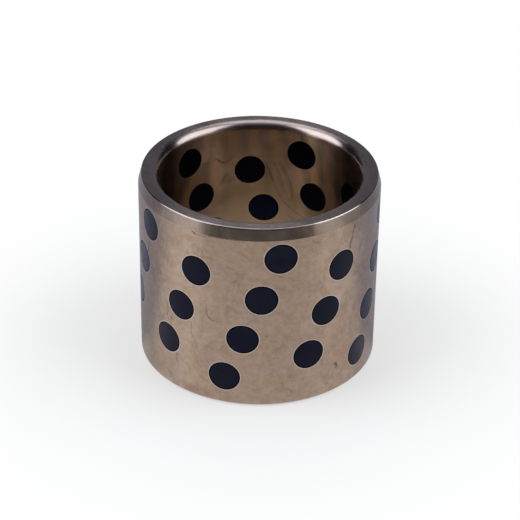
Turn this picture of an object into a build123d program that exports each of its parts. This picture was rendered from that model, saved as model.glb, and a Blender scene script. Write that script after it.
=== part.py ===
from build123d import *
import math
import os

# Plain sleeve bushing of cast bronze with solid graphite plugs set flush in its wall.
# Millimetres. +Z runs up the bore, and the origin is on the bore's axis at the bottom face.
# Plug angles are counted from the -Y side, positive towards +X.

# sleeve
bore_diameter = 50.0
wall_thickness = 5.0
sleeve_length = 50.0
lead_in_length = 3.0  # press-in taper on the outside of the top end
lead_in_angle = 15.0  # degrees off the axis
bore_edge_share = 0.4  # rounding of both mouths of the bore, as a share of the wall
rim_edge_radius = 0.4  # where the lead-in meets the top face
bottom_edge_break = 0.5  # 45 degree chamfer outside, at the bottom

# graphite plugs
plug_diameter = 8.0
plug_clearance = 0.01  # glue line round each plug, on the radius
plug_edge_break = 0.15  # both ends of a plug, which leaves a fine line round it
plugs_per_ring = 5
ring_count = 7
end_margin = 8.0  # from each end of the sleeve to the centres of the nearest ring
ring_turn = 31.7  # degrees from each ring to the next one below
first_plug_angle = 10.3  # degrees, one plug of the top ring

drill_overrun = 1.0  # how far a drill runs out past the outside

bore_radius = bore_diameter / 2
outer_radius = bore_radius + wall_thickness
bore_edge_radius = bore_edge_share * wall_thickness
lead_in_depth = lead_in_length * math.tan(math.radians(lead_in_angle))
ring_pitch = (sleeve_length - 2 * end_margin) / (ring_count - 1)
plug_spacing = 360 / plugs_per_ring


def bare_sleeve():
    """The turned sleeve before drilling, as a section spun round the bore's axis."""
    outline = Polyline(
        (bore_radius, 0),
        (outer_radius - bottom_edge_break, 0),
        (outer_radius, bottom_edge_break),
        (outer_radius, sleeve_length - lead_in_length),
        (outer_radius - lead_in_depth, sleeve_length),
        (bore_radius, sleeve_length),
        close=True,
    )
    section = make_face(outline)
    bore_corners = section.vertices().group_by(Axis.X)[0]
    section = fillet(bore_corners, bore_edge_radius)
    rim_corner = section.vertices().group_by(Axis.Y)[-1].sort_by(Axis.X)[-1]
    section = fillet(rim_corner, rim_edge_radius)
    return revolve(Plane.XZ * section, Axis.Z)


def radial_rod(diameter):
    """A rod from the bore's axis out through the wall on the -Y side, at height zero."""
    reach = outer_radius + drill_overrun
    return Rot(90, 0, 0) * Cylinder(diameter / 2, reach, align=(Align.CENTER, Align.CENTER, Align.MIN))


def flush_plug():
    """One plug at height zero on the -Y side, its ends turned flush with the bore and the outside."""
    wall = Cylinder(outer_radius, 2 * plug_diameter) - Cylinder(bore_radius, 2 * plug_diameter)
    plug = wall & radial_rod(plug_diameter)
    ends = [edge for edge in plug.edges() if edge.is_closed]
    return chamfer(ends, plug_edge_break)


def plug_places():
    """Each plug's name and place, ring by ring from the top."""
    places = {}
    for ring in range(ring_count):
        height = sleeve_length - end_margin - ring * ring_pitch
        for step in range(plugs_per_ring):
            angle = first_plug_angle + ring * ring_turn + step * plug_spacing
            name = f"graphite_plug_ring{ring + 1}_{step + 1}"
            places[name] = Pos(0, 0, height) * Rot(0, 0, angle)
    return places


os.makedirs("parts", exist_ok=True)

places = plug_places()
hole = radial_rod(plug_diameter + 2 * plug_clearance)
sleeve = bare_sleeve() - [place * hole for place in places.values()]
export_step(sleeve, "parts/bronze_sleeve.step")

plug = flush_plug()
for name, place in places.items():
    export_step(place * plug, f"parts/{name}.step")
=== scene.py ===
import bpy
import bmesh
import math
from mathutils import Matrix, Vector


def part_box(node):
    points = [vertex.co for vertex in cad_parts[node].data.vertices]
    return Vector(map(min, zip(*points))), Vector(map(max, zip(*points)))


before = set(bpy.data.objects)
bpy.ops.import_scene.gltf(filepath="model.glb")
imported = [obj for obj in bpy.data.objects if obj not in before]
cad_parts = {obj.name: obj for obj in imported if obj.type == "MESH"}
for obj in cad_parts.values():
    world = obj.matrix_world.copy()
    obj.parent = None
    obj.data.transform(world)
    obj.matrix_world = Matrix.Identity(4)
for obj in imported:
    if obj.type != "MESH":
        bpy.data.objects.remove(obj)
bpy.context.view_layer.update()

# Lengths are in metres, as in the frame, and in millimetres inside the bushing's own materials.
# Angles round the bushing are in degrees, start at the front, which is -Y, and grow towards +X.

millimetres = 1000.0  # in a metre
white = (1.0, 1.0, 1.0)

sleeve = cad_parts["bronze_sleeve"]
plugs = [node for name, node in sorted(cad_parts.items()) if name.startswith("graphite_plug")]
print("loaded", len(plugs), "plugs and the sleeve")

shot = {
    "place": (0.0, -0.40549, 0.26986),
    "aim": (0.00038, 0.0, 0.02381),
    "lens": 129.5,
    "sensor": 36.0,
    "roll": 0.876,  # degrees
    "nearest": 0.01,  # what is nearer than this isn't seen
}


# The turn of a camera or lamp that looks in a direction
def lookAlong(direction, roll):
    look = direction.to_track_quat("-Z", "Y").to_matrix().to_4x4()
    return look @ Matrix.Rotation(math.radians(roll), 4, "Z")


def makeCamera():
    data = bpy.data.cameras.new("camera")
    data.lens = shot["lens"]
    data.sensor_width = shot["sensor"]
    data.clip_start = shot["nearest"]
    camera = bpy.data.objects.new("camera", data)
    bpy.context.scene.collection.objects.link(camera)
    direction = Vector(shot["aim"]) - Vector(shot["place"])
    camera.matrix_world = Matrix.Translation(shot["place"]) @ lookAlong(direction, shot["roll"])
    bpy.context.scene.camera = camera


makeCamera()
print("camera placed")


def addNode(tree, kind, **settings):
    fresh = tree.nodes.new(kind)
    for name, value in settings.items():
        setattr(fresh, name, value)
    return fresh


# Links a socket to another one, or sets it to a plain value
def feed(tree, socket, source):
    if isinstance(source, bpy.types.NodeSocket):
        tree.links.new(source, socket)
    elif socket.type == "RGBA":
        socket.default_value = (*source, 1.0)
    else:
        socket.default_value = source


def feedAll(tree, node, sources):
    for name, source in sources.items():
        feed(tree, node.inputs[name], source)


def feedInOrder(tree, node, *sources):
    for socket, source in zip(node.inputs, sources):
        feed(tree, socket, source)


def calc(tree, operation, *terms):
    step = addNode(tree, "ShaderNodeMath", operation=operation)
    feedInOrder(tree, step, *terms)
    return step.outputs[0]


def calcVector(tree, operation, *terms, answer="Vector"):
    step = addNode(tree, "ShaderNodeVectorMath", operation=operation)
    feedInOrder(tree, step, *terms)
    return step.outputs[answer]


def scaled(tree, source, factor):
    step = addNode(tree, "ShaderNodeVectorMath", operation="SCALE")
    feed(tree, step.inputs[0], source)
    feed(tree, step.inputs["Scale"], factor)
    return step.outputs[0]


def joinVector(tree, *parts):
    step = addNode(tree, "ShaderNodeCombineXYZ")
    feedInOrder(tree, step, *parts)
    return step.outputs[0]


def splitVector(tree, source):
    step = addNode(tree, "ShaderNodeSeparateXYZ")
    feed(tree, step.inputs[0], source)
    return step.outputs


def flatLength(tree, across, up):
    return calcVector(tree, "LENGTH", joinVector(tree, across, up, 0.0), answer="Value")


# 0 below low, 1 above high, soft in between, and the other way round where low is the larger
def fade(tree, value, low, high):
    step = addNode(tree, "ShaderNodeMapRange", interpolation_type="SMOOTHSTEP")
    feedAll(tree, step, {"Value": value, "From Min": low, "From Max": high})
    return step.outputs["Result"]


def between(tree, value, low, high, soft):
    rise = fade(tree, value, low - soft, low + soft)
    return calc(tree, "MULTIPLY", rise, fade(tree, value, high + soft, high - soft))


# Half a change up and half a change down, as a value goes from 0 to 1
def swing(tree, value, change):
    return calc(tree, "MULTIPLY_ADD", value, change, -change / 2)


# A Mix node holds the sockets of every kind of data, so the last two of the kind in use are its ends
def mixData(tree, data, kind, factor, first, second, **settings):
    step = addNode(tree, "ShaderNodeMix", data_type=data, **settings)
    feed(tree, step.inputs[0], factor)
    ends = [socket for socket in step.inputs if socket.type == kind][-2:]
    for socket, source in zip(ends, (first, second)):
        feed(tree, socket, source)
    return next(socket for socket in step.outputs if socket.type == kind)


def mixValue(tree, factor, first, second):
    return mixData(tree, "FLOAT", "VALUE", factor, first, second)


def mixVector(tree, factor, first, second):
    return mixData(tree, "VECTOR", "VECTOR", factor, first, second)


def mixColour(tree, factor, first, second, how="MIX"):
    return mixData(tree, "RGBA", "RGBA", factor, first, second, blend_type=how)


def tinted(tree, factor, colour, tint):
    return mixColour(tree, factor, colour, mixColour(tree, 1.0, colour, tint, "MULTIPLY"))


def noise(tree, place, scale, detail=2.0, roughness=0.5, distortion=0.0, answer="Fac"):
    step = addNode(tree, "ShaderNodeTexNoise", noise_dimensions="3D")
    feedAll(tree, step, {"Vector": place, "Scale": scale, "Detail": detail, "Roughness": roughness,
                         "Distortion": distortion})
    return step.outputs[answer]


# A loose pattern of cells, and a number of its own for each of them
def looseCells(tree, place, spacing):
    cells = addNode(tree, "ShaderNodeTexVoronoi", voronoi_dimensions="3D", feature="F1")
    feedAll(tree, cells, {"Vector": place, "Scale": calc(tree, "DIVIDE", 1.0, spacing)})
    own = addNode(tree, "ShaderNodeTexWhiteNoise", noise_dimensions="3D")
    feed(tree, own.inputs["Vector"], cells.outputs["Position"])
    return cells.outputs, own.outputs["Value"]


# The kinds of socket that the groups have
number = "NodeSocketFloat"
vector = "NodeSocketVector"


def newGroup(name, inputs, outputs):
    tree = bpy.data.node_groups.new(name, "ShaderNodeTree")
    for socketName, kind, value in inputs:
        socket = tree.interface.new_socket(socketName, in_out="INPUT", socket_type=kind)
        if kind == number:
            socket.default_value = value
    for socketName, kind in outputs:
        tree.interface.new_socket(socketName, in_out="OUTPUT", socket_type=kind)
    start = tree.nodes.new("NodeGroupInput")
    end = tree.nodes.new("NodeGroupOutput")
    return tree, start.outputs, end


def useGroup(tree, group, **values):
    step = addNode(tree, "ShaderNodeGroup", node_tree=group)
    feedAll(tree, step, values)
    return step.outputs


def newMaterial(name):
    material = bpy.data.materials.new(name)
    material.use_nodes = True
    return material, material.node_tree, material.node_tree.nodes["Principled BSDF"]


radiusInAlong = 1.7  # how much the radius counts in Along, against the height


# Where a point is on the turned shape. Along grows without turning back over every turned surface.
def makeTurnedPlace():
    tree, _, end = newGroup("turnedPlace", [], [
        ("Place", vector), ("Radius", number), ("Height", number), ("Angle", number), ("Along", number)])
    coordinates = addNode(tree, "ShaderNodeTexCoord")
    place = scaled(tree, coordinates.outputs["Object"], millimetres)
    across, deep, height = splitVector(tree, place)
    radius = flatLength(tree, across, deep)
    angle = calc(tree, "DEGREES", calc(tree, "ARCTAN2", across, calc(tree, "MULTIPLY", deep, -1.0)))
    along = calc(tree, "MULTIPLY_ADD", radius, radiusInAlong, height)
    feedAll(tree, end, {"Place": place, "Radius": radius, "Height": height, "Angle": angle, "Along": along})
    return tree


def plugHeights(name):
    low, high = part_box(name)
    return millimetres * low[2], millimetres * high[2]


topPlug = plugHeights("graphite_plug_ring1_1")
nextPlug = plugHeights("graphite_plug_ring2_1")
plugPattern = {
    "radius": (topPlug[1] - topPlug[0]) / 2,
    "firstHeight": (topPlug[0] + topPlug[1]) / 2,
    "pitch": topPlug[1] - nextPlug[1],
    "rings": 7,
    "perRing": 5,
    "firstAngle": 10.3,
    "ringTurn": 31.7,  # from each ring to the next one below
}


# Distance from the edge of the nearest plug, negative inside it, and a number of its own for each plug.
# The nearest one is in the ring above the point or in the ring below it.
def makePlugField():
    tree, start, end = newGroup("plugField", [
        ("Radius", number, 30), ("Height", number, 0), ("Angle", number, 0)], [
        ("Edge", number), ("Own", number)])
    pattern = plugPattern
    perRing = float(pattern["perRing"])
    step = 360.0 / perRing
    below = calc(tree, "SUBTRACT", pattern["firstHeight"], start["Height"])
    above = calc(tree, "FLOOR", calc(tree, "DIVIDE", below, pattern["pitch"]))

    def nearestInRing(further):
        ring = calc(tree, "MAXIMUM", calc(tree, "ADD", above, further), 0.0)
        ring = calc(tree, "MINIMUM", ring, pattern["rings"] - 1.0)
        up = calc(tree, "SUBTRACT", calc(tree, "MULTIPLY", ring, pattern["pitch"]), below)
        ringAngle = calc(tree, "MULTIPLY_ADD", ring, pattern["ringTurn"], pattern["firstAngle"])
        turned = calc(tree, "SUBTRACT", start["Angle"], ringAngle)
        off = calc(tree, "WRAP", turned, step / 2, -step / 2)
        side = calc(tree, "MULTIPLY", start["Radius"], calc(tree, "SINE", calc(tree, "RADIANS", off)))
        reach = flatLength(tree, side, up)
        count = calc(tree, "ROUND", calc(tree, "DIVIDE", calc(tree, "SUBTRACT", turned, off), step))
        count = calc(tree, "WRAP", count, perRing, 0.0)
        return reach, calc(tree, "MULTIPLY_ADD", ring, perRing, count)

    reachAbove, countAbove = nearestInRing(0)
    reachBelow, countBelow = nearestInRing(1)
    aboveIsNearer = calc(tree, "LESS_THAN", reachAbove, reachBelow)
    own = addNode(tree, "ShaderNodeTexWhiteNoise", noise_dimensions="1D")
    feed(tree, own.inputs["W"], mixValue(tree, aboveIsNearer, countBelow, countAbove))
    reach = calc(tree, "MINIMUM", reachAbove, reachBelow)
    edge = calc(tree, "SUBTRACT", reach, pattern["radius"])
    feedAll(tree, end, {"Edge": edge, "Own": own.outputs["Value"]})
    return tree


# Two layers of grooves. A pace of 1 gives one groove or so for each pitch.
grooveLayers = {
    "drift": (0.05, 0.05, 0.0),  # how they change round the axis
    "fine": {"pace": 1.0, "detail": 2.0},
    "broad": {"pace": 0.17, "detail": 3.0},
    "fineShare": 0.4,
}


# Fine grooves that a turning tool leaves, running round the axis
def makeTurningMarks():
    tree, start, end = newGroup("turningMarks", [
        ("Place", vector, 0), ("Along", number, 0), ("Pitch", number, 0.3)], [("Groove", number)])
    drift = calcVector(tree, "MULTIPLY", start["Place"], grooveLayers["drift"])

    def grooves(layer):
        step = calc(tree, "MULTIPLY", calc(tree, "DIVIDE", start["Along"], start["Pitch"]), layer["pace"])
        spot = calcVector(tree, "ADD", drift, joinVector(tree, 0.0, 0.0, step))
        return noise(tree, spot, 1.0, detail=layer["detail"])

    fine = grooves(grooveLayers["fine"])
    broad = grooves(grooveLayers["broad"])
    feed(tree, end.inputs["Groove"], calc(tree, "MULTIPLY_ADD", fine, grooveLayers["fineShare"], broad))
    return tree


noiseMiddle = 0.5
colourMiddle = (noiseMiddle, noiseMiddle, noiseMiddle)

# Scales are shares of the clouds' own scale. The shifts keep the patterns apart.
stainPattern = {
    "cloud": (0.3, 0.7),  # from and to, within the noise, as for the next ones
    "brushed": (0.28, 0.72),
    "tint": (0.32, 0.68),
    "pushScale": 0.8,
    "brushedScale": 4.5,
    "foldScale": 0.9,
    "tintShift": (31.0, 17.0, 53.0),
    "foldShift": (7.0, 91.0, 23.0),
    "whereShift": (77.0, 5.0, 61.0),
    "wispWidth": 0.035,
    "wispWhere": (0.5, 0.62),
}


# Cloudy stains, finer brushed blotches across them, and thin dark wisps that wander through both
def makeCloudyStain():
    tree, start, end = newGroup("cloudyStain", [
        ("Place", vector, 0), ("Size", number, 8.0), ("Wander", number, 1.0), ("Push", number, 2.0)], [
        ("Cloud", number), ("Brushed", number), ("Tint", number), ("Wisp", number)])
    pattern = stainPattern
    place = start["Place"]
    scale = calc(tree, "DIVIDE", 1.0, start["Size"])
    cloud = noise(tree, place, scale, detail=4.0, roughness=0.6, distortion=start["Wander"])
    cloud = fade(tree, cloud, *pattern["cloud"])

    push = noise(tree, place, calc(tree, "MULTIPLY", scale, pattern["pushScale"]), answer="Color")
    push = scaled(tree, calcVector(tree, "SUBTRACT", push, colourMiddle), start["Push"])
    pushed = calcVector(tree, "ADD", push, place)
    brushedScale = calc(tree, "MULTIPLY", scale, pattern["brushedScale"])
    brushed = noise(tree, pushed, brushedScale, detail=4.0, roughness=0.75)
    brushed = fade(tree, brushed, *pattern["brushed"])
    tintPlace = calcVector(tree, "ADD", pushed, pattern["tintShift"])
    tint = noise(tree, tintPlace, scale, detail=3.0, roughness=0.6)
    tint = fade(tree, tint, *pattern["tint"])

    foldPlace = calcVector(tree, "ADD", pushed, pattern["foldShift"])
    fold = noise(tree, foldPlace, calc(tree, "MULTIPLY", scale, pattern["foldScale"]), detail=1.0)
    ridge = calc(tree, "ABSOLUTE", calc(tree, "SUBTRACT", fold, noiseMiddle))
    where = noise(tree, calcVector(tree, "ADD", place, pattern["whereShift"]), scale, detail=2.0)
    where = fade(tree, where, *pattern["wispWhere"])
    wisp = calc(tree, "MULTIPLY", fade(tree, ridge, pattern["wispWidth"], 0.0), where)
    feedAll(tree, end, {"Cloud": cloud, "Brushed": brushed, "Tint": tint, "Wisp": wisp})
    return tree


scratchEnd = (0.55, 0.3)  # where a scratch fades out, in spacings from the middle of its cell


# Short straight hairline scratches, at most one in each cell of a loose pattern
def makeHairScratches():
    tree, start, end = newGroup("hairScratches", [
        ("Place", vector, 0), ("Spacing", number, 6.0), ("Width", number, 0.1), ("Share", number, 0.5)], [
        ("Scratch", number)])
    cells, own = looseCells(tree, start["Place"], start["Spacing"])
    offset = calcVector(tree, "SUBTRACT", start["Place"], cells["Position"])
    lean = calcVector(tree, "SUBTRACT", cells["Color"], colourMiddle)
    across = calcVector(tree, "DOT_PRODUCT", offset, calcVector(tree, "NORMALIZE", lean), answer="Value")
    line = fade(tree, calc(tree, "ABSOLUTE", across), start["Width"], 0.0)
    reach = calc(tree, "DIVIDE", calcVector(tree, "LENGTH", offset, answer="Value"), start["Spacing"])
    line = calc(tree, "MULTIPLY", line, fade(tree, reach, *scratchEnd))
    chosen = calc(tree, "LESS_THAN", own, start["Share"])
    feed(tree, end.inputs["Scratch"], calc(tree, "MULTIPLY", line, chosen))
    return tree


pitShape = {
    "smallest": 0.5,  # as a share of Size. The largest is a whole Size larger.
    "flatPart": 0.4,  # how much of a pit is at its full depth
    "shuffle": 13.0,  # parts the choice of a pit from its size
}


# Small round pits or specks
def makePits():
    tree, start, end = newGroup("pits", [
        ("Place", vector, 0), ("Spacing", number, 2.0), ("Size", number, 0.2), ("Share", number, 0.2)], [
        ("Pit", number)])
    cells, own = looseCells(tree, start["Place"], start["Spacing"])
    reach = calc(tree, "MULTIPLY", cells["Distance"], start["Spacing"])
    size = calc(tree, "MULTIPLY", start["Size"], calc(tree, "ADD", own, pitShape["smallest"]))
    dot = fade(tree, reach, size, calc(tree, "MULTIPLY", size, pitShape["flatPart"]))
    chosen = calc(tree, "FRACT", calc(tree, "MULTIPLY", own, pitShape["shuffle"]))
    chosen = calc(tree, "LESS_THAN", chosen, start["Share"])
    feed(tree, end.inputs["Pit"], calc(tree, "MULTIPLY", dot, chosen))
    return tree


# One scratch, smudge, patch of painted shade or painted highlight, from one point on the surface to another.
# On the top face Height is the radius.
# It is worked out in plain numbers, as so many marks in vectors would go past what a shader can hold.
def makePlacedMark():
    tree, start, end = newGroup("placedMark", [
        ("Angle", number, 0), ("Height", number, 0), ("Radius", number, 30), ("FromAngle", number, 0),
        ("FromHeight", number, 0), ("ToAngle", number, 0), ("ToHeight", number, 0), ("Width", number, 0.3),
        ("Bend", number, 0)], [("Mark", number)])
    arc = calc(tree, "RADIANS", start["Radius"])

    def fromStart(angle, height):
        turn = calc(tree, "WRAP", calc(tree, "SUBTRACT", angle, start["FromAngle"]), 180.0, -180.0)
        return calc(tree, "MULTIPLY", arc, turn), calc(tree, "SUBTRACT", height, start["FromHeight"])

    spotSide, spotUp = fromStart(start["Angle"], start["Height"])
    goSide, goUp = fromStart(start["ToAngle"], start["ToHeight"])
    length = flatLength(tree, goSide, goUp)
    headingSide = calc(tree, "DIVIDE", goSide, length)
    headingUp = calc(tree, "DIVIDE", goUp, length)
    run = calc(tree, "MULTIPLY_ADD", spotSide, headingSide, calc(tree, "MULTIPLY", spotUp, headingUp))
    held = calc(tree, "MINIMUM", calc(tree, "MAXIMUM", run, 0.0), length)
    share = calc(tree, "DIVIDE", held, length)
    arch = calc(tree, "MULTIPLY", share, calc(tree, "SUBTRACT", 1.0, share))  # a quarter at its highest
    bend = calc(tree, "MULTIPLY", arch, calc(tree, "MULTIPLY", start["Bend"], 4.0))
    side = calc(tree, "SUBTRACT", calc(tree, "MULTIPLY", spotSide, headingUp),
                calc(tree, "MULTIPLY", spotUp, headingSide))
    past = calc(tree, "SUBTRACT", run, held)
    away = flatLength(tree, calc(tree, "SUBTRACT", side, bend), past)
    feed(tree, end.inputs["Mark"], fade(tree, away, start["Width"], 0.0))
    return tree


turnedPlace = makeTurnedPlace()
plugField = makePlugField()
turningMarks = makeTurningMarks()
cloudyStain = makeCloudyStain()
hairScratches = makeHairScratches()
pits = makePits()
placedMark = makePlacedMark()
print("shared effects made")

sleeveLow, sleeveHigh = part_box("bronze_sleeve")

# Where each turned surface starts and ends
turnedShape = {
    "outside": millimetres * sleeveHigh[0],
    "length": millimetres * (sleeveHigh[2] - sleeveLow[2]),
    "bore": 25.0,
    "mouth": 2.0,  # rounding of the bore's mouths
    "leadIn": 3.0,
    "leadInAngle": 15.0,  # off the axis
    "rim": 0.35,  # how far below the top face the rim's own finish reaches
    "rimRounding": 0.4,
    "rimRise": 0.3,  # how far below the top face its rounding ends
    "rimTurn": 0.1,  # how far out the rounding starts to turn the light
    "bottomBreak": 0.5,
    "faceDepth": (1.0, 0.3),  # how far below the top the marks of its face start and are whole
    "blend": 0.05,  # how softly one surface's finish runs into the next
}
leadInLean = math.radians(turnedShape["leadInAngle"])
rimOutside = turnedShape["outside"] - turnedShape["leadIn"] * math.tan(leadInLean)
rimInside = rimOutside - turnedShape["rimRounding"] * math.tan((math.pi / 2 - leadInLean) / 2)

# The finish of each surface. The first is the ground that the others are laid over.
# Stain, groove and halo are the shares of those effects that show there.
bronzeSurfaces = {
    "face": {"colour": (0.40, 0.335, 0.31), "roughness": 0.24, "stain": 0.5, "groove": 0.1, "halo": 0.0},
    "mouth": {"colour": (0.42, 0.345, 0.315), "roughness": 0.235, "stain": 0.35, "groove": 0.0, "halo": 0.0},
    "bore": {"colour": (0.325, 0.228, 0.152), "roughness": 0.22, "stain": 0.42, "groove": 0.4, "halo": 0.12},
    "wall": {"colour": (0.385, 0.281, 0.208), "roughness": 0.29, "stain": 1.0, "groove": 1.0, "halo": 1.0},
    "leadIn": {"colour": (0.32, 0.247, 0.191), "roughness": 0.24, "stain": 0.5, "groove": 0.15, "halo": 0.0},
    "rim": {"colour": (0.43, 0.345, 0.325), "roughness": 0.2, "stain": 0.15, "groove": 0.0, "halo": 0.0},
}

# Wear, and the tints of painted highlights and painted shade
bronzeWearAndLight = {
    "turned": 0.9,  # how far the turning marks spread a reflection
    "spreadTurn": 0.25,  # of a turn, from along the grooves to across them
    "grooveDepth": 0.0000015,  # metres, as bump takes it
    "groovePitch": 0.3,
    "cloudSize": 7.0,
    "wander": 0.7,
    "push": 3.0,
    "warm": (1.022, 1.002, 0.978),  # this tint and the next three are the stains
    "cool": (0.978, 0.998, 1.022),
    "light": (1.11, 1.12, 1.14),
    "dark": (0.88, 0.865, 0.84),
    "glossChange": 0.10,  # how much the roughness changes across the stains
    "scratchSpacing": 7.0,
    "scratchWidth": 0.10,
    "scratchShare": 0.5,
    "scratchStrength": 0.35,
    "speckSpacing": 3.2,
    "speckSize": 0.16,
    "speckShare": 0.22,
    "speckStrength": 0.6,
    "wispStrength": 0.45,
    "smoke": (0.62, 0.56, 0.52),  # tint of the wisps, hairline scratches and specks
    "smokeFocus": 3.0,  # how strictly these keep to the surfaces that stain
    # Tint of the dark marks, and of the broad patches of painted shade
    "mark": (0.34, 0.28, 0.26),
    "markGrain": 2.0,
    "markGaps": (0.30, 0.50),  # from and to, within the noise that frays the marks
    # Tints of the painted highlights, on the outside and top face, and in the bore
    "paintedHighlight": (1.7, 1.7, 1.75),
    "borePaintedHighlight": (2.0, 2.0, 2.0),
    "halo": (0.32, 0.08),  # from and to, outwards from a plug's edge
    "haloColour": (0.58, 0.485, 0.43),
    "seam": (0.05, 0.0),
    "seamColour": (0.03, 0.027, 0.03),
}

# Streaks that run up the bore, and the painted light that pales it towards its mouths
boreStreaks = {
    "scale": 0.42,
    "flatten": 0.2,  # how little they change with height
    "contrast": (0.35, 0.65),
    "rosy": (1.05, 0.99, 1.08),
    "olive": (0.98, 1.01, 0.90),
    "strength": 0.6,
    "paintedMouthLight": (1.27, 1.36, 1.53),
    "paintedMouthLightReach": (22.0, 8.0),  # from and to, in from each end
}

# Each mark has an angle and a height for both its ends, a width, a bend and a strength.
# The marks are dark: scratches, smudges and broad patches of painted shade. The painted highlights are pale,
# and in the bore some of them also stand for polished run-in bands.
wallMarksAndShade = {
    "rightScratch": (49.8, 45.7, 48, 42.2, 0.30, 0.15, 1.6),
    "rightScratchLow": (48.2, 42.8, 46.8, 39.8, 0.45, 0.15, 1.0),
    "smudge": (40.2, 8.2, 41.0, 7.0, 0.75, 0.0, 1.0),
    "leftStroke": (-62, 37, -64, 33, 0.55, 0.4, 0.8),
    "leftSpeck": (-58.1, 30.5, -59, 29.6, 0.5, 0.0, 0.45),
    "leftRub": (-61.5, 33.5, -57.5, 27.5, 0.9, 0.3, 0.3),
    "leftHair": (-50.0, 45.0, -52.0, 38.5, 0.22, 0.2, 0.4),
    "leftScratch": (-55.5, 36.2, -54.0, 33.8, 0.28, 0.0, 0.5),
    "leftWisp": (-48, 24, -48, 20, 0.35, -0.5, 0.6),
    "leftTail": (-44, 21, -44, 16, 0.30, 0.6, 0.6),
    "leftDrop": (-50.5, 19.4, -50.8, 18.2, 0.4, 0.0, 0.7),
    # The next three are broad patches of painted shade
    "rightPaintedShade": (60.5, 18.0, 60.0, 9.5, 3.5, 0.0, 0.2),
    "middlePaintedShade": (31.0, 22.0, 30.5, 16.0, 3.5, 0.0, 0.17),
    "leftPaintedShade": (-62.0, 9.0, -62.5, 1.0, 4.5, 0.0, 0.22),
    "middleWisp": (-24.2, 26.4, -19.0, 23.5, 0.42, 1.1, 0.6),
    "dot": (4, 20.6, 4.3, 20.4, 0.30, 0.0, 0.9),
    "lowWisp": (-41.3, 10.3, -40.4, 6.5, 0.35, 0.2, 0.6),
    "topTick": (9.6, 37.2, 11.2, 37.0, 0.25, 0.0, 0.7),
    "rightTick": (18.5, 33.4, 19.0, 32.6, 0.25, 0.0, 0.4),
    "rightTickLow": (28.7, 15.4, 29.1, 14.8, 0.28, 0.0, 0.8),
    "rightDot": (41.5, 42.4, 41.8, 42.2, 0.24, 0.0, 0.9),
    "middleLine": (-32.2, 21.2, -31.4, 16.9, 0.3, 0.4, 0.45),
    "middleLineLow": (-30.6, 16.2, -29.3, 13.4, 0.3, -0.3, 0.35),
    "leadInScuff": (-31.4, 46.9, -30.4, 46.5, 0.32, 0.0, 2.2),
    "leadInTail": (-30.0, 46.5, -22, 46.8, 0.18, 0.1, 0.8),
    # The next two are patches of painted shade, the second darker towards the bottom
    "rightShade": (50.0, 21.5, 49.0, 12.5, 4.5, 0.0, 0.25),
    "leftLowPaintedShade": (-35.0, 1.4, -24.0, 1.6, 2.6, 0.0, 0.35),
    "leadInEdge": (-24, 46.85, -6, 46.95, 0.14, 0.0, 0.9),
}

# Painted highlights: pale patches
wallPaintedHighlights = {
    "rightPale": (54.0, 46.0, 53.0, 31.0, 6.5, 0.0, 0.2),
    "rightPaleLow": (71.0, 14.0, 70.5, 8.0, 4.0, 0.0, 0.2),
    "leftPale": (-50.0, 46.0, -50.5, 41.0, 4.0, 0.0, 0.13),
    "middlePale": (-21.0, 31.0, -24.0, 27.5, 3.0, 0.0, 0.12),
}

boreMarksAndShade = {
    "scratch": (176.6, 38.4, 171.9, 33.0, 0.32, 0.1, 0.6),
    "scratchDeep": (174.3, 35.9, 172.0, 33.2, 0.40, 0.0, 0.75),
    "scratchLow": (171.2, 31.8, 166.9, 28.3, 0.34, 0.1, 0.65),
    "rub": (171.6, 38.6, 166.2, 32.2, 0.85, 0.15, 0.34),
    "rubNext": (169.0, 38.8, 161.9, 33.7, 0.85, 0.3, 0.4),
    "rubEnd": (161.9, 33.9, 159.8, 28.5, 0.70, 0.3, 0.36),
    "lowLine": (166.1, 27.7, 155.9, 24.3, 0.30, -0.2, 0.45),
    "lowLineEnd": (157.5, 24.5, 151.4, 23.7, 0.30, -0.1, 0.4),
    "lowLineNext": (162.8, 23.3, 157.7, 22.7, 0.30, 0.0, 0.4),
    "curve": (208.0, 41.2, 201.5, 39.0, 0.36, -0.2, 0.8),
    "curveEnd": (202.0, 39.1, 196.0, 40.6, 0.34, -0.3, 0.6),
    "smudge": (200.5, 35.3, 203.5, 33.4, 1.2, 0.0, 0.45),
    "smudgeEnd": (203.3, 33.6, 196.5, 33.8, 0.9, -0.3, 0.3),
    "lowSmudge": (206.1, 27.9, 203.0, 27.4, 1.2, 0.0, 0.25),
    # Painted shade: a broad darker patch
    "lowPaintedShade": (190.0, 22.5, 194.0, 19.0, 3.0, 0.0, 0.15),
    "overPlug": (176.0, 40.4, 186.0, 40.8, 0.40, 0.5, 0.3),
    "topDot": (223.6, 45.0, 223.92, 44.8, 0.28, 0.0, 0.9),
    "topTick": (226.2, 44.6, 226.6, 44.4, 0.25, 0.0, 0.6),
    "streak": (133.6, 47.5, 133.6, 24.0, 0.9, 0.0, 0.2),
}

# Painted highlights, some of them also standing for polished run-in bands
borePaintedHighlights = {
    "rightLow": (150.0, 31.0, 152.0, 24.5, 4.0, 0.0, 0.25),
    "leftTop": (212.5, 48.0, 213.5, 42.5, 3.5, 0.0, 0.85),
    "topMiddle": (170.5, 48.5, 174.5, 46.0, 2.8, 0.0, 0.32),
    "betweenScratches": (166.5, 34.4, 161.6, 29.0, 0.50, 0.15, 0.22),
    "streak": (138.6, 47.4, 138.6, 24.0, 1.1, 0.0, 0.3),
    "streakNext": (146.0, 49.0, 146.0, 28.0, 2.2, 0.0, 0.3),
    "litRunInBand": (150.0, 50.0, 150.0, 33.5, 6.5, 0.0, 0.8),
    "litRunInBandNext": (164.0, 49.9, 162.0, 36.0, 4.0, 0.0, 0.34),
    "rightBand": (134.5, 50.1, 134.5, 44.5, 3.2, 0.0, 0.55),
    "leftBand": (207.0, 50.2, 205.5, 34.5, 6.5, 0.0, 0.6),
}

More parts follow.
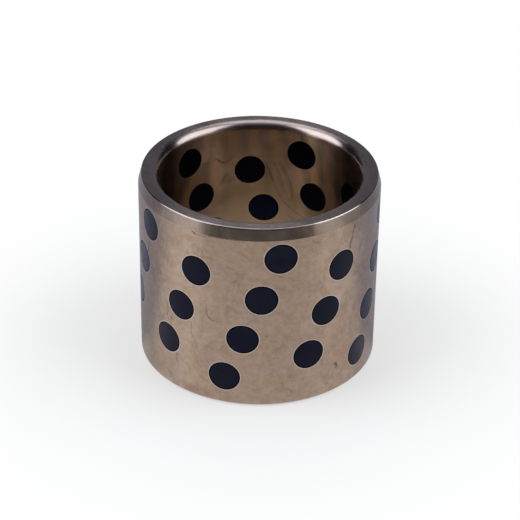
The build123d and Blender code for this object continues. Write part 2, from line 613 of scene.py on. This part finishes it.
# On the top face, where the second and fourth numbers are radii
faceNicksAndShade = {
    "frontNick": (4.7, 27.5, 3.9, 28.7, 0.20, 0.0, 0.8),
    "leftNick": (-38.5, 27.9, -38.3, 28.7, 0.22, 0.0, 0.7),
    "rightNick": (63.0, 27.8, 62.75, 28.7, 0.22, 0.0, 0.6),
    "sideNick": (82.0, 27.6, 82.28, 28.2, 0.20, 0.0, 0.8),
    "rimShade": (-22.0, 29.285, 22.0, 29.285, 0.05, 0.0, 0.8),
    # The next two are broad patches of painted shade
    "frontPaintedShade": (2.0, 28.1, 26.0, 28.1, 2.2, 0.0, 0.1),
    "leftPaintedShade": (-50.0, 28.1, -18.0, 28.1, 2.2, 0.0, 0.08),
    "sideNickLow": (85.0, 28.2, 85.2, 28.7, 0.18, 0.0, 0.7),
    # Painted shade: a broad darker patch
    "backPaintedShade": (215.0, 28.0, 193.0, 28.0, 1.4, 0.0, 0.2),
    "mouthPit": (99.5, 26.6, 99.92, 26.8, 0.32, 0.0, 0.9),
    "backLine": (276.5, 27.0, 275.1, 28.7, 0.15, 0.0, 0.6),
    "backNick": (243.5, 27.35, 241.9, 28.7, 0.25, 0.0, 0.5),
}

# Painted highlights: pale ticks, lines and patches
facePaintedHighlights = {
    "backGlint": (246.0, 26.4, 244.5, 27.4, 0.35, 0.0, 0.6),
    "rimShine": (27.0, 29.12, 55.0, 29.12, 0.4, 0.0, 0.5),
    "backShine": (156.0, 28.2, 182.0, 28.2, 1.5, 0.0, 0.18),
    "frontGlint": (6.1, 27.45, 5.2, 28.3, 0.17, 0.1, 0.75),
    "rightGlint": (60.0, 27.65, 59.68, 28.4, 0.22, 0.0, 0.6),
}


def layMarks(tree, marks, spot, along):
    total = 0.0
    for fromAngle, fromHeight, toAngle, toHeight, width, bend, strength in marks.values():
        mark = useGroup(tree, placedMark, Angle=spot["Angle"], Height=along, Radius=spot["Radius"],
                        FromAngle=fromAngle, FromHeight=fromHeight, ToAngle=toAngle, ToHeight=toHeight,
                        Width=width, Bend=bend)
        total = calc(tree, "MAXIMUM", total, calc(tree, "MULTIPLY", mark["Mark"], strength))
    return total


# 1 on each of the turned surfaces and 0 off it
def surfaceMasks(tree, radius, height):
    shape = turnedShape
    top = shape["length"]
    soft = shape["blend"]
    wallRadius = fade(tree, radius, shape["outside"] - 2 * soft, shape["outside"] - soft / 2)
    leadRadius = fade(tree, radius, rimInside, rimOutside)
    rimRadius = fade(tree, radius, rimInside, rimInside + soft)
    boreRadius = fade(tree, radius, shape["bore"] + 2 * soft, shape["bore"] + soft / 2)
    belowRim = top - shape["rim"]
    wallHeight = between(tree, height, shape["bottomBreak"], top - shape["leadIn"], soft)
    leadHeight = between(tree, height, top - shape["leadIn"], belowRim, soft)
    return {
        "mouth": between(tree, radius, shape["bore"] + soft, shape["bore"] + shape["mouth"], soft),
        "bore": boreRadius,
        "wall": calc(tree, "MULTIPLY", wallRadius, wallHeight),
        "leadIn": calc(tree, "MULTIPLY", leadRadius, leadHeight),
        "rim": calc(tree, "MULTIPLY", rimRadius, fade(tree, height, belowRim - soft, belowRim + soft)),
    }


def blendSurfaces(tree, masks):
    finish = dict(bronzeSurfaces["face"])
    for name, mask in masks.items():
        finish["colour"] = mixColour(tree, mask, finish["colour"], bronzeSurfaces[name]["colour"])
        for part in ("roughness", "stain", "groove", "halo"):
            finish[part] = mixValue(tree, mask, finish[part], bronzeSurfaces[name][part])
    return finish


def stainBronze(tree, colour, stain, share):
    tint = mixColour(tree, stain["Tint"], bronzeWearAndLight["cool"], bronzeWearAndLight["warm"])
    for layer in (stain["Cloud"], stain["Brushed"]):
        shade = mixColour(tree, layer, bronzeWearAndLight["dark"], bronzeWearAndLight["light"])
        tint = mixColour(tree, 1.0, tint, shade, "MULTIPLY")
    return tinted(tree, share, colour, tint)


def streakBore(tree, colour, spot, inBore):
    look = boreStreaks
    streakPlace = calcVector(tree, "MULTIPLY", spot["Place"], (1.0, 1.0, look["flatten"]))
    streak = noise(tree, streakPlace, look["scale"], detail=3.0, roughness=0.6)
    tint = mixColour(tree, fade(tree, streak, *look["contrast"]), look["olive"], look["rosy"])
    colour = tinted(tree, calc(tree, "MULTIPLY", inBore, look["strength"]), colour, tint)

    # Painted light: the bore pales towards each mouth, where light falls in from above
    middle = turnedShape["length"] / 2
    fromMiddle = calc(tree, "ABSOLUTE", calc(tree, "SUBTRACT", spot["Height"], middle))
    fromEnd = calc(tree, "SUBTRACT", middle, fromMiddle)
    paintedMouthLight = calc(tree, "MULTIPLY", fade(tree, fromEnd, *look["paintedMouthLightReach"]), inBore)
    return tinted(tree, paintedMouthLight, colour, look["paintedMouthLight"])


# The fine random wear: wisps, hairline scratches and specks
def smokeBronze(tree, colour, wisp, scratch, speck, share):
    wear = bronzeWearAndLight
    smoke = calc(tree, "MAXIMUM", calc(tree, "MULTIPLY", wisp, wear["wispStrength"]),
                 calc(tree, "MULTIPLY", scratch, wear["scratchStrength"]))
    smoke = calc(tree, "MAXIMUM", smoke, calc(tree, "MULTIPLY", speck, wear["speckStrength"]))
    smoke = calc(tree, "MULTIPLY", smoke, calc(tree, "POWER", share, wear["smokeFocus"]))
    return tinted(tree, smoke, colour, wear["smoke"])


def markBronze(tree, colour, spot, masks):
    wear = bronzeWearAndLight
    top = turnedShape["length"]
    radius, height = spot["Radius"], spot["Height"]
    onFace = fade(tree, height, *[top - depth for depth in turnedShape["faceDepth"]])
    whole = fade(tree, noise(tree, spot["Place"], wear["markGrain"], detail=3.0), *wear["markGaps"])
    # Dark marks, with the broad patches of painted shade among them
    marks = 0.0
    for table, mask, along in (
        (wallMarksAndShade, masks["wall"], height),
        (boreMarksAndShade, masks["bore"], height),
        (faceNicksAndShade, onFace, radius),
    ):
        laid = calc(tree, "MULTIPLY", layMarks(tree, table, spot, along), mask)
        marks = calc(tree, "MAXIMUM", marks, laid)
    colour = tinted(tree, calc(tree, "MULTIPLY", marks, whole), colour, wear["mark"])
    # Painted highlights
    for table, mask, along, tint in (
        (wallPaintedHighlights, masks["wall"], height, wear["paintedHighlight"]),
        (facePaintedHighlights, onFace, radius, wear["paintedHighlight"]),
        (borePaintedHighlights, masks["bore"], height, wear["borePaintedHighlight"]),
    ):
        paintedHighlights = calc(tree, "MULTIPLY", layMarks(tree, table, spot, along), mask)
        colour = tinted(tree, paintedHighlights, colour, tint)
    return colour


# A pale ring round each plug, and the dark seam between the two
def ringPlugs(tree, colour, edge, share):
    halo = calc(tree, "MULTIPLY", fade(tree, edge, *bronzeWearAndLight["halo"]), share)
    colour = mixColour(tree, halo, colour, bronzeWearAndLight["haloColour"])
    return mixColour(tree, fade(tree, edge, *bronzeWearAndLight["seam"]), colour, bronzeWearAndLight["seamColour"])


# The rim's rounding is too fine for the mesh to shade evenly, so its normal is worked out from the place
def rimNormal(tree, spot):
    shape = turnedShape
    outwards = calcVector(tree, "NORMALIZE", calcVector(tree, "MULTIPLY", spot["Place"], (1.0, 1.0, 0.0)))
    reach = calc(tree, "SUBTRACT", spot["Radius"], rimInside + shape["rimTurn"])
    reach = calc(tree, "MAXIMUM", reach, 0.0)
    rise = calc(tree, "SUBTRACT", spot["Height"], shape["length"] - shape["rimRounding"])
    lean = calcVector(tree, "ADD", scaled(tree, outwards, reach), joinVector(tree, 0.0, 0.0, rise))
    turned = addNode(tree, "ShaderNodeVectorTransform", vector_type="NORMAL", convert_from="OBJECT",
                     convert_to="WORLD")
    feed(tree, turned.inputs[0], calcVector(tree, "NORMALIZE", lean))
    onRim = calc(tree, "MULTIPLY", calc(tree, "GREATER_THAN", spot["Radius"], rimInside),
                 calc(tree, "GREATER_THAN", spot["Height"], shape["length"] - shape["rimRise"]))
    inMesh = addNode(tree, "ShaderNodeNewGeometry")
    return mixVector(tree, onRim, inMesh.outputs["Normal"], turned.outputs[0])


def makeBronze():
    material, tree, shader = newMaterial("turnedBronze")
    wear = bronzeWearAndLight
    spot = useGroup(tree, turnedPlace)
    place, radius, height, angle = [spot[name] for name in ("Place", "Radius", "Height", "Angle")]
    masks = surfaceMasks(tree, radius, height)
    finish = blendSurfaces(tree, masks)

    stain = useGroup(tree, cloudyStain, Place=place, Size=wear["cloudSize"], Wander=wear["wander"],
                     Push=wear["push"])
    colour = stainBronze(tree, finish["colour"], stain, finish["stain"])
    colour = streakBore(tree, colour, spot, masks["bore"])
    hair = useGroup(tree, hairScratches, Place=place, Spacing=wear["scratchSpacing"],
                    Width=wear["scratchWidth"], Share=wear["scratchShare"])
    speck = useGroup(tree, pits, Place=place, Spacing=wear["speckSpacing"], Size=wear["speckSize"],
                     Share=wear["speckShare"])
    colour = smokeBronze(tree, colour, stain["Wisp"], hair["Scratch"], speck["Pit"], finish["stain"])
    colour = markBronze(tree, colour, spot, masks)
    field = useGroup(tree, plugField, Radius=radius, Height=height, Angle=angle)
    colour = ringPlugs(tree, colour, field["Edge"], finish["halo"])

    glossChange = swing(tree, stain["Cloud"], wear["glossChange"])
    glossChange = calc(tree, "MULTIPLY", glossChange, finish["stain"])
    roughness = calc(tree, "ADD", finish["roughness"], glossChange)

    turning = useGroup(tree, turningMarks, Place=place, Along=spot["Along"], Pitch=wear["groovePitch"])
    level = calc(tree, "MULTIPLY", turning["Groove"], finish["groove"])
    dent = calc(tree, "MULTIPLY", hair["Scratch"], finish["groove"])
    bump = addNode(tree, "ShaderNodeBump")
    feedAll(tree, bump, {
        "Distance": wear["grooveDepth"],
        "Height": calc(tree, "SUBTRACT", level, dent),
        "Normal": rimNormal(tree, spot),
    })
    around = addNode(tree, "ShaderNodeTangent", direction_type="RADIAL", axis="Z")
    feedAll(tree, shader, {
        "Base Color": colour,
        "Roughness": roughness,
        "Normal": bump.outputs[0],
        "Metallic": 1.0,
        "Anisotropic": wear["turned"],
        "Anisotropic Rotation": wear["spreadTurn"],
        "Tangent": around.outputs[0],
    })
    return material


graphiteFinish = {
    "colour": (0.009, 0.0105, 0.020),
    "greyer": (0.014, 0.0155, 0.022),
    "greyChange": 0.5,  # between one plug and the next, and again across the clouds
    # Painted shade: the plugs inside the bore are darker
    "inBore": (0.005, 0.006, 0.016),
    "boreShadeReach": 2.0,
    "outline": (-0.42, -0.16),  # from and to, inwards from the plug's edge
    "outlineColour": (0.0015, 0.0015, 0.002),
    "outlineRoughness": 0.5,
    "roughness": 0.30,
    "glossChange": 0.10,
    "glancing": (0.94, 0.93, 0.985),  # tint of what it mirrors at a shallow angle
    "stainSize": 3.0,
    "wander": 0.4,
    "push": 1.0,
    "pitSpacing": 0.8,
    "pitSize": 0.12,
    "pitShare": 0.3,
    "grooveDepth": 0.0000015,  # metres, as bump takes it
    "groovePitch": 0.3,
}


def makeGraphite():
    material, tree, shader = newMaterial("pressedGraphite")
    look = graphiteFinish
    spot = useGroup(tree, turnedPlace)
    place, radius = spot["Place"], spot["Radius"]
    stain = useGroup(tree, cloudyStain, Place=place, Size=look["stainSize"], Wander=look["wander"],
                     Push=look["push"])
    field = useGroup(tree, plugField, Radius=radius, Height=spot["Height"], Angle=spot["Angle"])
    pit = useGroup(tree, pits, Place=place, Spacing=look["pitSpacing"], Size=look["pitSize"],
                   Share=look["pitShare"])
    cloudy = swing(tree, stain["Cloud"], look["greyChange"])
    grey = calc(tree, "MULTIPLY_ADD", field["Own"], look["greyChange"], cloudy)
    colour = mixColour(tree, grey, look["colour"], look["greyer"])
    # Painted shade on the plugs in the bore
    inside = fade(tree, radius, turnedShape["bore"] + look["boreShadeReach"], turnedShape["bore"])
    colour = mixColour(tree, inside, colour, look["inBore"])
    onOutline = fade(tree, field["Edge"], *look["outline"])
    colour = mixColour(tree, onOutline, colour, look["outlineColour"])

    glossChange = swing(tree, stain["Tint"], look["glossChange"])
    roughness = calc(tree, "ADD", glossChange, look["roughness"])
    roughness = mixValue(tree, onOutline, roughness, look["outlineRoughness"])

    turning = useGroup(tree, turningMarks, Place=place, Along=spot["Along"], Pitch=look["groovePitch"])
    bump = addNode(tree, "ShaderNodeBump")
    feedAll(tree, bump, {
        "Distance": look["grooveDepth"],
        "Height": calc(tree, "SUBTRACT", turning["Groove"], pit["Pit"]),
    })
    feedAll(tree, shader, {
        "Base Color": colour,
        "Roughness": roughness,
        "Normal": bump.outputs[0],
        "Specular Tint": look["glancing"],
        "Metallic": 1.0,
    })
    return material


turnedBronze = makeBronze()
pressedGraphite = makeGraphite()
for slot in sleeve.material_slots:
    slot.material = turnedBronze
for plug in plugs:
    for slot in plug.material_slots:
        slot.material = pressedGraphite
print("materials made")


def newStagePiece(name, shape):
    mesh = bpy.data.meshes.new(name)
    shape.to_mesh(mesh)
    shape.free()
    piece = bpy.data.objects.new(name, mesh)
    bpy.context.scene.collection.objects.link(piece)
    return piece


def newStageMaterial(piece, name):
    material = bpy.data.materials.new(name)
    material.use_nodes = True
    material.node_tree.nodes.clear()
    piece.data.materials.append(material)
    return material.node_tree, addNode(material.node_tree, "ShaderNodeOutputMaterial")


# How bright the floor glows when it is mirrored in metal, outside the sleeve and inside its bore, with
# painted shadows and painted shade in place of the floor's own lighting.
# Turns are a share of the distance from the axis, from -1 at the front to 1 behind.
mirroredFloor = {
    "front": (0.90, 0.905, 0.945),
    "behind": (0.485, 0.51, 0.62),
    "turn": (-0.22, 0.08),
    # Painted shadow: the glow is dimmer close to the sleeve, except in front
    "sideShadow": 0.75,  # how much of it is left close to the sleeve, except in front
    "nearSideTurn": (-0.95, -0.3),
    "nearSideReach": (0.058, 0.031),
    "leftward": 1.04,
    "rightward": 0.965,
    "leftToRight": (-0.7, 0.7),
    # Painted shade: the glow is dimmer far behind
    "farBehind": 0.78,  # how much of it is left far behind
    "farReach": (0.11, 0.19),
    "farTurn": 0.18,  # how much sooner the far floor turns to its look behind
    "insideFront": (0.80, 0.76, 0.66),
    "insideBehind": (0.64, 0.62, 0.60),
    "insideTurn": (-0.02, 0.015),  # in metres, as nothing is far away in there
    # Painted shadow: the glow is darker against the bore's wall
    "wallShadow": 0.08,  # how much of it is left against the bore's wall
    "nearWallReach": (0.0195, 0.0230),
    "insideReach": (0.0285, 0.0265),
}


def mirroredShade(tree, place, away):
    look = mirroredFloor
    across, deep = splitVector(tree, place)[:2]
    turn = calc(tree, "DIVIDE", deep, away)
    far = fade(tree, away, *look["farReach"])
    behind = scaled(tree, look["behind"], mixValue(tree, far, 1.0, look["farBehind"]))
    sooner = calc(tree, "MULTIPLY_ADD", far, look["farTurn"], turn)
    outside = mixColour(tree, fade(tree, sooner, *look["turn"]), look["front"], behind)
    side = fade(tree, turn, *look["nearSideTurn"])
    side = calc(tree, "MULTIPLY", side, fade(tree, away, *look["nearSideReach"]))
    outside = scaled(tree, outside, mixValue(tree, side, 1.0, look["sideShadow"]))
    tilt = fade(tree, calc(tree, "DIVIDE", across, away), *look["leftToRight"])
    outside = scaled(tree, outside, mixValue(tree, tilt, look["leftward"], look["rightward"]))
    inside = fade(tree, deep, *look["insideTurn"])
    inside = mixColour(tree, inside, look["insideFront"], look["insideBehind"])
    wallShadow = mixValue(tree, fade(tree, away, *look["nearWallReach"]), 1.0, look["wallShadow"])
    inside = scaled(tree, inside, wallShadow)
    return mixColour(tree, fade(tree, away, *look["insideReach"]), outside, inside)


floor = {
    "size": 10.0,
    "drop": 0.0001,
    "colour": (0.95, 0.93, 0.88),
    "shadowReach": 0.030,  # how far out the shadow is at its full
    "whiteFrom": 0.10,  # where the floor is plain white
    "glow": 0.45,  # how far it is whitened under the shadow
}


def makeFloor():
    plane = bmesh.new()
    bmesh.ops.create_grid(plane, x_segments=1, y_segments=1, size=floor["size"] / 2)
    bmesh.ops.translate(plane, verts=plane.verts, vec=(0, 0, -floor["drop"]))
    piece = newStagePiece("studioFloor", plane)
    tree, out = newStageMaterial(piece, "paleFloor")
    matt = addNode(tree, "ShaderNodeBsdfDiffuse")
    feed(tree, matt.inputs["Color"], floor["colour"])
    glow = addNode(tree, "ShaderNodeEmission")
    rays = addNode(tree, "ShaderNodeLightPath").outputs
    place = addNode(tree, "ShaderNodeTexCoord").outputs["Object"]
    away = calcVector(tree, "LENGTH", place, answer="Value")
    far = fade(tree, away, floor["shadowReach"], floor["whiteFrom"])
    far = mixValue(tree, far, floor["glow"], 1.0)
    seen = calc(tree, "MULTIPLY", rays["Is Camera Ray"], far)
    mirrored = calc(tree, "MAXIMUM", rays["Is Glossy Ray"], rays["Is Transmission Ray"])
    shade = mirroredShade(tree, place, away)
    feed(tree, glow.inputs["Color"], mixColour(tree, rays["Is Camera Ray"], shade, white))
    mix = addNode(tree, "ShaderNodeMixShader")
    feedInOrder(tree, mix, calc(tree, "MAXIMUM", seen, mirrored), matt.outputs[0], glow.outputs[0])
    feed(tree, out.inputs["Surface"], mix.outputs[0])


def towards(angle, rise=0.0):
    turn = math.radians(angle)
    lift = math.radians(rise)
    return Vector((math.sin(turn) * math.cos(lift), -math.cos(turn) * math.cos(lift), math.sin(lift)))


def newLamp(name, width, height, radiance, colour):
    data = bpy.data.lights.new(name, "AREA")
    data.shape = "RECTANGLE"
    data.size = width
    data.size_y = height
    data.energy = radiance * math.pi * width * height
    data.color = colour
    lamp = bpy.data.objects.new(name, data)
    bpy.context.scene.collection.objects.link(lamp)
    lamp.visible_camera = False
    return lamp


overhead = {
    "place": (-0.06, 0.40, 1.0),
    "width": 0.60,
    "height": 1.0,
    "radiance": 1.3,
    "colour": (0.95, 1.0, 1.06),
}


def makeOverhead():
    lamp = newLamp("overhead", overhead["width"], overhead["height"], overhead["radiance"],
                   overhead["colour"])
    lamp.location = overhead["place"]


softboxes = {
    "distance": 0.80,
    "colour": (0.96, 1.0, 1.08),
    "left": {"angle": -78.5, "rise": 36.0, "roll": 7.0, "width": 0.66, "height": 0.92, "radiance": 2.3},
    "right": {"angle": 82.0, "rise": 39.0, "roll": -10.0, "width": 0.71, "height": 0.84, "radiance": 2.15},
}


def makeSoftbox(side):
    box = softboxes[side]
    lamp = newLamp("softbox", box["width"], box["height"], box["radiance"], softboxes["colour"])
    away = towards(box["angle"], box["rise"])
    lamp.matrix_world = Matrix.Translation(away * softboxes["distance"]) @ lookAlong(-away, box["roll"])


# Upright bent sheets that are only seen as reflections in the metal
cards = {
    "frontCard": {"distance": 0.30, "from": -48, "to": 48, "height": 0.48, "glow": (0.012, 0.012, 0.014)},
    "sideCards": {"distance": 0.96, "from": 105, "to": 255, "height": 1.0, "glow": (0.012, 0.012, 0.014)},
    "backCard": {"distance": 0.94, "from": 145, "to": 215, "height": 0.75, "glow": (0.15, 0.16, 0.19)},
}
cardSegments = 32


def makeCard(name, card):
    sheet = bmesh.new()
    foot = towards(card["from"]) * card["distance"]
    low = sheet.verts.new(foot)
    high = sheet.verts.new(foot + Vector((0, 0, card["height"])))
    edge = sheet.edges.new((low, high))
    sweep = math.radians(card["to"] - card["from"])
    bmesh.ops.spin(sheet, geom=[low, high, edge], cent=(0, 0, 0), axis=(0, 0, 1), angle=sweep,
                   steps=cardSegments)
    piece = newStagePiece(name, sheet)
    tree, out = newStageMaterial(piece, name)
    glow = addNode(tree, "ShaderNodeEmission")
    feed(tree, glow.inputs["Color"], card["glow"])
    feed(tree, out.inputs["Surface"], glow.outputs[0])
    piece.visible_camera = False
    piece.visible_shadow = False
    piece.visible_diffuse = False


surround = {"colour": (0.18, 0.19, 0.21), "strength": 1.0}


# White behind the object, and a dim grey in what the metal mirrors
def makeSurround():
    world = bpy.data.worlds.new("surround")
    bpy.context.scene.world = world
    world.use_nodes = True
    tree = world.node_tree
    rays = addNode(tree, "ShaderNodeLightPath").outputs
    feedAll(tree, tree.nodes["Background"], {
        "Color": mixColour(tree, rays["Is Camera Ray"], surround["colour"], white),
        "Strength": surround["strength"],
    })


makeFloor()
makeOverhead()
makeSoftbox("left")
makeSoftbox("right")
for name, card in cards.items():
    makeCard(name, card)
makeSurround()
bpy.context.scene.view_settings.view_transform = "Standard"
print("floor and lights placed")
